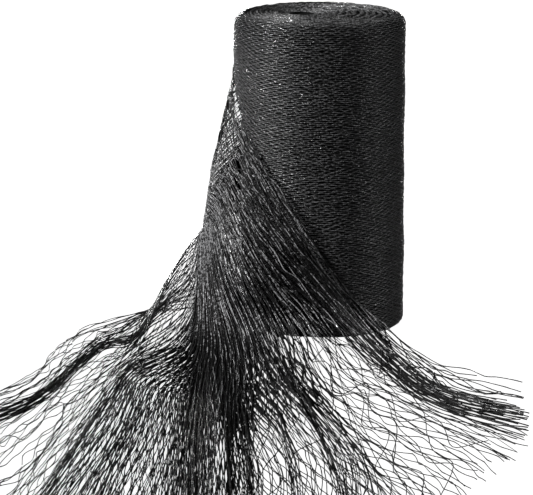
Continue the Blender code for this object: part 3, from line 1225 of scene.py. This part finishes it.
@dataclass(frozen=True)
class Bunching:
    """How twines lie side by side: in gathers and finer wisps, open cells, and strands on the floor.

    Places across the net and along it run from 0 to 1, from its lower edge to its upper edge and from
    the roll to the ragged end.
    """

    rows: int = 641
    columns: int = 481

    # Gathers and wisps, which loosen as the net leaves the roll.
    leaves_roll: Ramp = Ramp(0.17, 0.20)
    layer_offset: float = 0.37
    gathers: int = 37
    gather_pull: float = 0.60
    wisps: int = 71
    wisps_begin: Ramp = Ramp(0.08, 0.05)
    wisps_part: Ramp = Ramp(0.20, 0.15)
    parting_delay: float = 0.2
    late_parting: Ramp = Ramp(0.28, 0.12)
    wound_pull: float = 0.97
    wisp_pull: float = 0.80
    free: Zone = Zone(Ramp(0.62, 0.02), Ramp(0.76, 0.06), Ramp(0.36, 0.12))
    freed: float = 0.55
    solid: Zone = Zone(Ramp(0.40, 0.03), Ramp(0.62, 0.02), Ramp(0.34, 0.08), Ramp(0.58, 0.14))
    solid_wisps: EachPly = (0.85, 0.4, 0.4)
    solid_gathers: float = 0.7

    # Open cells between the wisps, longest where the net fans out.
    cell_swing: float = 0.36
    cell_drift: float = 0.3
    shut_cells: float = 0.15
    opens: Zone = Zone(low=Ramp(0.58, 0.06), near=Ramp(0.14, 0.06))
    open_swing: float = 0.85
    fans: Ramp = Ramp(0.46, 0.14)
    fans_shut: Ramp = Ramp(0.42, 0.12)
    fanned_shut: float = 0.25
    longer_cells: float = 10.0
    longer_from: float = 0.5

    # The way from the twines' even order, over the hanging bunches, to the bunches on the floor.
    drawn_off: Ramp = Ramp(0.0, 0.115)
    lands: Ramp = Ramp(0.15, 0.28)
    landing_slant: float = 0.15
    held_back: EachPly = (0.05, 0.05, 0.0)
    held_side: Ramp = Ramp(0.36, 0.06)
    veer: float = 0.018
    veer_turns: tuple[float, float] = (1.3, 0.31)
    veer_phase: float = 2.4
    least_veer: float = 0.2
    veers: Ramp = Ramp(0.40, 0.15)

    # Strands on the floor, in the dense middle and towards its left.
    ropes: float = 28.6
    first_rope: float = 0.53
    rope_pull: float = 0.52
    rope_drift: float = 0.8
    mass_ropes: Zone = Zone(Ramp(0.46, 0.04), Ramp(0.61, 0.05))
    side_ropes: Zone = Zone(Ramp(0.16, 0.06), Ramp(0.36, 0.04))
    side_roped: float = 0.5
    ropes_begin: Ramp = Ramp(0.51, 0.16)

    def cells(self, share: np.ndarray, run: np.ndarray, place: np.ndarray) -> np.ndarray:
        """Swing of the wisps to each other and back, which opens long cells between them.

        Args:
            share: the twines' own order across the ply.
            run: places along the net.
            place: where each twine lies on the floor, across the net.

        Returns:
            The swing, in shares of the ply.
        """
        fanned = self.fans.rise(place)
        turns = np.interp(run, CELL_RUNS, CELL_TURNS) + self.cell_drift * ripple(GATHER_DRIFT, share, run)
        turns = turns - self.longer_cells * fanned * np.maximum(run - self.longer_from, 0.0)
        opened = self.shut_cells + (1.0 - self.shut_cells) * self.opens.at(place, run)
        opened = opened * np.cos(math.pi * self.wisps * share)
        opened = opened * (self.open_swing - self.fanned_shut * fanned * self.fans_shut.rise(run))
        return self.cell_swing / self.wisps * opened * np.sin(math.tau * turns)

    def strands(self, where: np.ndarray, run: np.ndarray) -> tuple[np.ndarray, np.ndarray]:
        """Run the twines on the floor together into strands.

        Args:
            where: places across the net.
            run: places along the net.

        Returns:
            The new places across the net, and how far each place is roped, from 0 to 1.
        """
        roped = self.mass_ropes.at(where, run) + self.side_roped * self.side_ropes.at(where, run)
        roped = roped * self.ropes_begin.rise(run)
        drift = self.rope_drift * ripple(GATHER_DRIFT, where, run)
        rope = math.tau * self.ropes * (where - self.first_rope) + drift
        return where - self.rope_pull * roped / (math.tau * self.ropes) * np.sin(rope), roped

    def lay(self, layer: int) -> Lay:
        """Lay out one ply's twines.

        Args:
            layer: the ply's number, from the lowest.

        Returns:
            How its twines lie.
        """
        share = np.linspace(0.0, 1.0, self.rows)[:, None]
        run = np.linspace(0.0, 1.0, self.columns)[None, :]
        places = np.array([0.0] + [bunch.across for bunch in BUNCHES])
        counts = ([bunch.on_floor[layer] for bunch in BUNCHES], [bunch.hanging[layer] for bunch in BUNCHES])
        shares = [np.cumsum([0.0] + count) / sum(count) for count in counts]
        place = np.interp(share, shares[0], places)

        loose = self.leaves_roll.rise(run)
        parted = self.wisps_part.rise(run, self.parting_delay * self.late_parting.fall(share))
        offset = self.layer_offset * layer
        gather = math.tau * (self.gathers * share + ripple(GATHER_DRIFT, share, run + offset))
        wisp = math.tau * (self.wisps * share + parted * ripple(WISP_DRIFT, share, run + 2.0 * offset))
        free = self.free.at(place, run)
        solid = self.solid.at(place, run)
        wisp_pull = self.wound_pull + (self.wisp_pull - self.wound_pull) * parted
        wisp_pull = self.wisps_begin.rise(run) * wisp_pull
        wisp_pull = wisp_pull * (1.0 - self.freed * free - self.solid_wisps[layer] * solid)
        gather_pull = loose * self.gather_pull * (1.0 - self.solid_gathers * solid)
        pulled = share - gather_pull / (math.tau * self.gathers) * np.sin(gather)
        pulled = pulled - wisp_pull / (math.tau * self.wisps) * np.sin(wisp)
        pulled = np.clip(pulled + self.cells(share, run, place), 0.0, 1.0)

        on_floor, hanging = (
            hermite(knots, places, level_slopes(knots, places), pulled.ravel()).reshape(pulled.shape)
            for knots in shares
        )
        drawn = self.drawn_off.rise(run)
        held = self.held_back[layer] * self.held_side.fall(place)
        landed = self.lands.rise(run, self.landing_slant * share, held)
        where = share * (1 - drawn) + drawn * (hanging * (1 - landed) + on_floor * landed)
        turns = self.veer_turns[0] * run + self.veer_turns[1] * share
        veer = self.veer * np.sin(math.tau * turns + self.veer_phase * layer)
        veer = veer * (self.least_veer + (1.0 - self.least_veer) * self.veers.rise(where))
        where = np.clip(where + veer * loose * 4.0 * where * (1.0 - where), 0.0, 1.0)
        where, roped = self.strands(where, run)
        return Lay(layer, share, run, loose, gather, wisp, where, roped)


@dataclass(frozen=True)
class Dressing:
    """How thick and how lively the twines are over the loose end, and the shade and light painted on them.

    Places across the net and along it run from 0 to 1, as for its bunching.
    """

    # How lively: less in wide meshes, on the left of the fan, and in strands.
    widest_cell: float = 0.006
    left_fan: Zone = Zone(high=Ramp(0.36, 0.05), far=Ramp(0.34, 0.08))
    fan_still: float = 0.75
    rope_still: float = 0.5

    # How thick, in shares of the twine's own thickness.
    turn_over: Ramp = Ramp(0.21, 0.10)
    turn_delay: float = 0.16
    turn_begin: Ramp = Ramp(0.09, 0.07)
    left_side: Ramp = Ramp(0.34, 0.06)
    brow_side: Ramp = Ramp(0.74, 0.12)
    right_side: Ramp = Ramp(0.76, 0.06)
    turning_girth: float = 0.5
    brow_girth: float = 1.1
    fan_girth: float = 1.0
    fanned_girth: float = 1.25
    lower_fill: Zone = Zone(Ramp(0.38, 0.04), Ramp(0.64, 0.04), Ramp(0.27, 0.08), Ramp(0.55, 0.14))
    lower_girth: float = 2.6
    hangs: Ramp = Ramp(0.27, 0.08)
    hanging_girth: float = 1.4
    middle_fill: Zone = Zone(Ramp(0.48, 0.03), Ramp(0.56, 0.03), Ramp(0.40, 0.06), Ramp(0.56, 0.08))
    landed_girth: float = 1.6

    # How far the twines' colour is painted darker for shade, from 0 to 1, with painted light in some parts.
    inner: Zone = Zone(Ramp(0.37, 0.04), Ramp(0.62, 0.14))
    inner_shade: float = 0.45
    mass: Zone = Zone(low=Ramp(0.42, 0.04), high=Ramp(0.60, 0.05), far=Ramp(0.48, 0.20))
    mass_less_shade: float = 0.6
    mass_painted_light: float = 0.25
    mass_begin: Ramp = Ramp(0.28, 0.08)
    hung: Ramp = Ramp(0.22, 0.05)
    # Strands of painted highlight along their crests, with painted shade between them.
    strands: int = 78
    strand_drift: float = 0.6
    strand_contrast: float = 1.0
    strand_level: float = 0.4
    brow: Zone = Zone(low=Ramp(0.66, 0.08), near=Ramp(0.30, 0.06), far=Ramp(0.50, 0.10))
    brow_shade: float = 0.1
    crossed: Zone = Zone(low=Ramp(0.72, 0.06), near=Ramp(0.13, 0.05))
    turning_shade: float = 0.6

    def reach(self, lay: Lay, points: np.ndarray, twines: int) -> np.ndarray:
        """How much of its full swing the twine makes, less where twines lie wide apart or roped.

        Args:
            lay: how the ply's twines lie.
            points: the surface's points.
            twines: how many twines lie across it.

        Returns:
            The share of the swing at each point.
        """
        spacing = np.linalg.norm(np.gradient(points, axis=0), axis=2) * (len(points) - 1) / twines
        reach = np.minimum(1.0, self.widest_cell / np.maximum(spacing, LEAST_SPACING))
        fan = self.left_fan.at(lay.where, lay.run)
        return reach * (1.0 - self.fan_still * fan) * (1.0 - self.rope_still * lay.roped)

    def turned(self, lay: Lay) -> np.ndarray:
        """How far the net has turned off the roll's flank, later on its left side."""
        return self.turn_over.rise(lay.run, self.turn_delay * self.left_side.fall(lay.where))

    def girth(self, lay: Lay, landing: np.ndarray) -> np.ndarray:
        """How thick the twine is: thin where it turns off the roll, and thick where it stands for many.

        Args:
            lay: how the ply's twines lie.
            landing: how far each point has come down to the floor.

        Returns:
            The thickness at each point, as a share of the twine's own.
        """
        turning = self.turning_girth + (self.brow_girth - self.turning_girth) * self.brow_side.rise(lay.where)
        turning = turning + (self.fan_girth - self.turning_girth) * self.left_side.fall(lay.where)
        girth = 1.0 + (turning - 1.0) * (1.0 - self.turned(lay)) * self.turn_begin.rise(lay.run)
        girth = girth + (self.fanned_girth - 1.0) * landing * self.right_side.rise(lay.where)
        if lay.layer == 0:
            girth = girth + (self.lower_girth - 1.0) * self.lower_fill.at(lay.where, lay.run)
        elif lay.layer == 1:
            girth = girth + (self.hanging_girth - 1.0) * self.hangs.rise(lay.run) * (1.0 - landing)
            girth = girth + (self.landed_girth - 1.0) * self.middle_fill.at(lay.where, lay.run)
        return girth

    def dulled(self, lay: Lay, landing: np.ndarray) -> np.ndarray:
        """Painted shade on the twine: in the folds between strands, on the floor, and in the drape's middle.

        Args:
            lay: how the ply's twines lie.
            landing: how far each point has come down to the floor.

        Returns:
            The painted shade at each point, from 0 to 1.
        """
        hung = self.hung.rise(lay.run)
        mass = self.mass.at(lay.where, lay.run)
        inner = self.inner.at(lay.where, lay.run)
        drift = self.strand_drift * ripple(WISP_DRIFT, lay.share, lay.run)
        # Painted highlights on the strands' crests and painted shade between them.
        between = 0.5 - 0.5 * np.cos(math.tau * (self.strands * lay.where + drift))
        # Painted shade on the floor, where flat twines catch less light, lessened in the mass; and painted
        # shade in the drape's inner part.
        dulled = np.maximum(landing * (1.0 - self.mass_less_shade * mass), self.inner_shade * hung * inner)
        dulled = dulled + self.strand_contrast * hung * (between - self.strand_level)
        dulled = dulled + self.brow_shade * self.brow.at(lay.where, lay.run)
        # Painted light on the mass.
        dulled = dulled - self.mass_painted_light * mass * self.mass_begin.rise(lay.run)
        crossed = self.crossed.at(lay.where, lay.run)
        return dulled + self.turning_shade * (1.0 - self.turned(lay)) * crossed


@dataclass
class LooseEnd:
    """The loose end: bunched net that hangs off the roll's left side and fans out on the floor."""

    roll: Winding
    bunching: Bunching = Bunching()
    dressing: Dressing = Dressing()

    # The surface that the twines lie on.
    clearance: float = 0.0014
    bridged_angle: float = math.radians(5)
    bridged_height: float = 0.007
    folds_begin: Ramp = Ramp(0.30, 0.25)
    least_fold: float = 0.0004
    guide_rows: int = 201
    guide_columns: int = 241
    gather_height: float = 0.0022
    wisp_height: float = 0.0008
    ply_gap: float = 0.0006
    near_floor: Ramp = Ramp(0.003, 0.02)

    # The twines.
    twines: int = 200
    lower_twines: int = 180
    step: float = 0.0052
    bar: float = 0.026
    lower_bar: float = 0.044
    twine_radius: float = 0.00040
    bunched_width: float = 0.22
    first_seed: int = 21
    seed_stride: int = 8
    pieces: list[Object] = field(default_factory=list)

    def resting_radius(self, azimuth: np.ndarray, height: np.ndarray) -> np.ndarray:
        """Find the radius at which the net rests on the roll's side, bridging its small hollows.

        Args:
            azimuth: angles round the roll, in radians.
            height: heights above the base, in the same shape.

        Returns:
            The radius at each place.
        """
        around = [
            self.roll.side_radius(azimuth + side, height + rise)
            for side in (-self.bridged_angle, 0.0, self.bridged_angle)
            for rise in (-self.bridged_height, 0.0, self.bridged_height)
        ]
        return np.max(around, axis=0) + self.clearance

    def stations(self) -> np.ndarray:
        """Find the points that each line runs through.

        Returns:
            The points, as [line][point][x, y, z].
        """
        wounds = []
        for stretch in WOUND_STRETCH:
            azimuth = np.full(len(NET_LINES), math.radians(stretch.azimuth_deg))
            height = np.array([line.wound + (line.turn[2] - line.wound) * stretch.sag for line in NET_LINES])
            wounds.append(on_circle(azimuth, self.resting_radius(azimuth, height), height))
        loose = np.array([line[2:] for line in NET_LINES])
        return np.concatenate([np.stack(wounds, axis=1), loose], axis=1)

    def plain_grid(self) -> tuple[np.ndarray, np.ndarray]:
        """Lay out the net's surface without its folds.

        Returns:
            The points, as [across][along][x, y, z], and each row's length.
        """
        knots = np.array([line.across for line in NET_LINES])
        stations = self.stations()
        across = np.linspace(0.0, 1.0, self.guide_rows)
        between = hermite(knots, stations, level_slopes(knots, stations), across)
        runs = [even_points(points, self.guide_columns) for points in between]
        return np.array([run for run, _ in runs]), np.array([length for _, length in runs])

    def folded(self, grid: np.ndarray) -> tuple[np.ndarray, np.ndarray]:
        """Raise the folds on a grid.

        Args:
            grid: the plain points, as [across][along][x, y, z].

        Returns:
            The folded points, and the plain surface's outward directions.
        """
        outward = np.cross(np.gradient(grid, axis=1), np.gradient(grid, axis=0))
        outward /= np.linalg.norm(outward, axis=2, keepdims=True)
        across = np.linspace(0.0, 1.0, grid.shape[0])
        along = np.linspace(0.0, 1.0, grid.shape[1])
        ridges = sum(fold.height * np.exp(-(((across - fold.across) / fold.width) ** 2)) for fold in FOLDS)
        ridges = np.maximum(ridges - self.least_fold, 0.0)
        height = ridges[:, None] * self.folds_begin.rise(along)[None, :]
        return grid + outward * height[:, :, None], outward

    def clear_of_roll(self, points: np.ndarray) -> np.ndarray:
        """Push points out of the roll's side and up out of the floor.

        Args:
            points: the points.

        Returns:
            The moved points.
        """
        azimuth = np.arctan2(points[..., 0], -points[..., 1])
        distance = np.hypot(points[..., 0], points[..., 1])
        least = self.resting_radius(azimuth, points[..., 2])
        inside = (distance < least) & (points[..., 2] < self.roll.height)
        pushed = on_circle(azimuth, np.where(inside, least, distance), points[..., 2])
        pushed[..., 2] = np.maximum(pushed[..., 2], self.twine_radius)
        return pushed

    def surface(self, layer: int) -> tuple[Mesh, float]:
        """Make one ply's surface, with its gathers and wisps.

        Args:
            layer: the ply's number, from the lowest.

        Returns:
            The surface with its places on the net, and its longest run.
        """
        plain, lengths = self.plain_grid()
        grid, outward = self.folded(plain)
        lay = self.bunching.lay(layer)
        along = np.broadcast_to(lay.run, lay.where.shape)
        gathered = self.gather_height * (0.5 + 0.5 * np.cos(lay.gather))
        raised = gathered + self.wisp_height * (0.5 + 0.5 * np.cos(lay.wisp))
        raised = raised * lay.loose + self.ply_gap * layer
        normals = read_grid(outward, lay.where, along)
        points = self.clear_of_roll(read_grid(grid, lay.where, along) + normals * raised[..., None])
        landing = self.near_floor.fall(points[..., 2])
        girth = self.dressing.girth(lay, landing)
        # Painted shade for the twines' colour.
        dulled = self.dressing.dulled(lay, landing)
        reach = self.dressing.reach(lay, points, self.twines)
        points[..., 2] = np.maximum(points[..., 2], self.twine_radius * girth)
        length = np.interp(lay.where[:, -1], np.linspace(0.0, 1.0, self.guide_rows), lengths)
        places = np.stack(np.broadcast_arrays(lay.share, lay.run * length[:, None]), axis=-1)
        return grid_mesh("loose_surface", points, places, girth, dulled, reach), float(length.max())

    def build(self, material: Material, shaded: Material) -> None:
        """Build every ply of the loose end.

        Args:
            material: the upper ply's material.
            shaded: the material of the plies below it.
        """
        names = ("loose_lower_net", "loose_middle_net", "loose_upper_net")
        for layer, name in enumerate(names):
            surface, run = self.surface(layer)
            upper = layer == len(names) - 1
            twines = self.twines if layer else self.lower_twines
            net = KnittedNet(
                twines=twines, run=run, step=self.step, bar_length=self.bar if upper else self.lower_bar,
                swing=0.5, twine_radius=self.twine_radius, uneven=0.35, stray=0.4, lift=0.0010, ragged=0.05,
                drift_scale=9.0, seed=self.first_seed + self.seed_stride * layer,
            )
            piece = net.over(surface, name, material if upper else shaded)
            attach(piece, BODY)
            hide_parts("loose_end")
            self.pieces.append(piece)


# The studio -------------------------------------------------------------------------------------


class Lamp(NamedTuple):
    """One soft rectangular light: where it stands, the point it faces, its sides and its watts."""

    name: str
    place: Point
    aim: Point
    sides: tuple[float, float]
    power: float


LAMPS = [
    Lamp("key", (-2.17, -0.90, 1.3), (0.0, 0.0, 0.1), (0.5, 0.5), 385.0),
    Lamp("fill", (1.95, -0.5, 0.6), (0.0, 0.0, 0.15), (0.8, 1.0), 48.0),
    Lamp("back", (-0.4, 2.3, 0.13), (0.0, 0.0, 0.1), (1.6, 0.2), 40.0),
]


@dataclass
class Studio:
    """The floor, the lights and the camera."""

    floor_size: float = 14.0
    sky: float = 0.18
    camera_place: Point = (-0.046, -2.084, 0.578)
    camera_pitch: float = math.radians(13.86)
    lens: float = 163.45
    sensor: float = 36.0
    sight: float = 50.0
    net_lights: list[Object] = field(default_factory=list)
    floor: Object | None = None

    def add_light(self, lamp: Lamp) -> None:
        """Add one light.

        Args:
            lamp: the light's place, size and power.
        """
        data = bpy.data.lights.new(lamp.name, "AREA")
        data.shape = "RECTANGLE"
        data.size, data.size_y = lamp.sides
        data.energy = lamp.power
        light = bpy.data.objects.new(lamp.name, data)
        light.location = lamp.place
        light.rotation_euler = (Vector(lamp.aim) - Vector(lamp.place)).to_track_quat("-Z", "Y").to_euler()
        bpy.context.scene.collection.objects.link(light)
        self.net_lights.append(light)

    def light_only(self, pieces: list[Object]) -> None:
        """Keep the lights on the netting, and the table's glow on the table.

        Args:
            pieces: the netting's pieces.
        """
        for name, lights, lit in (
            ("lit_netting", self.net_lights, pieces),
            ("lit_table", [self.floor], [self.floor]),
        ):
            receivers = bpy.data.collections.new(name)
            for piece in lit:
                receivers.objects.link(piece)
            for light in lights:
                light.light_linking.receiver_collection = receivers

    def make_floor(self) -> None:
        """Make the plain table top."""
        half = 0.5 * self.floor_size
        corners = [(-half, -half, 0), (half, -half, 0), (half, half, 0), (-half, half, 0)]
        mesh = bpy.data.meshes.new("floor")
        mesh.from_pydata(corners, [], [(0, 1, 2, 3)])
        mesh.materials.append(GroundFinish().material())
        floor = bpy.data.objects.new("floor", mesh)
        bpy.context.scene.collection.objects.link(floor)
        self.floor = floor

    def make_world(self) -> None:
        """Make the white surroundings, which light the netting less than they show."""
        world = bpy.data.worlds.new("studio")
        world.use_nodes = True
        graph = Graph(world.node_tree)
        seen = graph.add("ShaderNodeLightPath").outputs["Is Camera Ray"]
        strength = graph.math("MAXIMUM", seen, self.sky)
        graph.feed_all(world.node_tree.nodes["Background"], {"Color": WHITE, "Strength": strength})
        bpy.context.scene.world = world

    def make_camera(self) -> None:
        """Make the camera, a little above the roll and straight on."""
        scene = bpy.context.scene
        data = bpy.data.cameras.new("camera")
        data.sensor_width = self.sensor
        data.lens = self.lens
        data.clip_end = self.sight
        camera = bpy.data.objects.new("camera", data)
        camera.location = self.camera_place
        camera.rotation_euler = (0.5 * math.pi - self.camera_pitch, 0.0, 0.0)
        scene.collection.objects.link(camera)
        scene.camera = camera
        scene.view_settings.view_transform = "Standard"

    def build(self) -> None:
        """Build the floor, the surroundings, the lights and the camera."""
        self.make_floor()
        self.make_world()
        for lamp in LAMPS:
            self.add_light(lamp)
        self.make_camera()


def main() -> None:
    """Build the netting and the studio round it."""
    logging.basicConfig(level=logging.INFO, format="%(message)s")
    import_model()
    studio = Studio()
    studio.build()
    outer = TwineFinish()
    shaded = TwineFinish(name="shaded_twine", light=(0.006, 0.006, 0.0062, 1.0), roughness=0.4, specular=0.05)
    # The loose end's twine is a lighter copy of the outer twine, with stronger tone contrast: painted light
    # for its highlights.
    loose = TwineFinish(
        name="loose_twine", light=(0.10, 0.10, 0.102, 1.0), specular=0.20, dash_scale=480.0,
        dash_depth=0.0007, dash_contrast=9.0, tone_contrast=4.0,
    )
    # The top face's twine is a lighter copy of the outer twine: painted light.
    top = TwineFinish(
        name="top_twine", light=(0.056, 0.056, 0.057, 1.0), specular=0.36, dash_scale=520.0,
        dash_contrast=14.0,
    )
    materials = {finish.name: finish.material() for finish in (outer, shaded, loose, top)}
    roll = Winding(InnerTurnsFinish())
    roll.build(materials[outer.name], materials[shaded.name], materials[top.name])
    loose_end = LooseEnd(roll)
    loose_end.build(materials[loose.name], materials[shaded.name])
    studio.light_only(roll.pieces + loose_end.pieces)


if __name__ == "__main__":
    main()
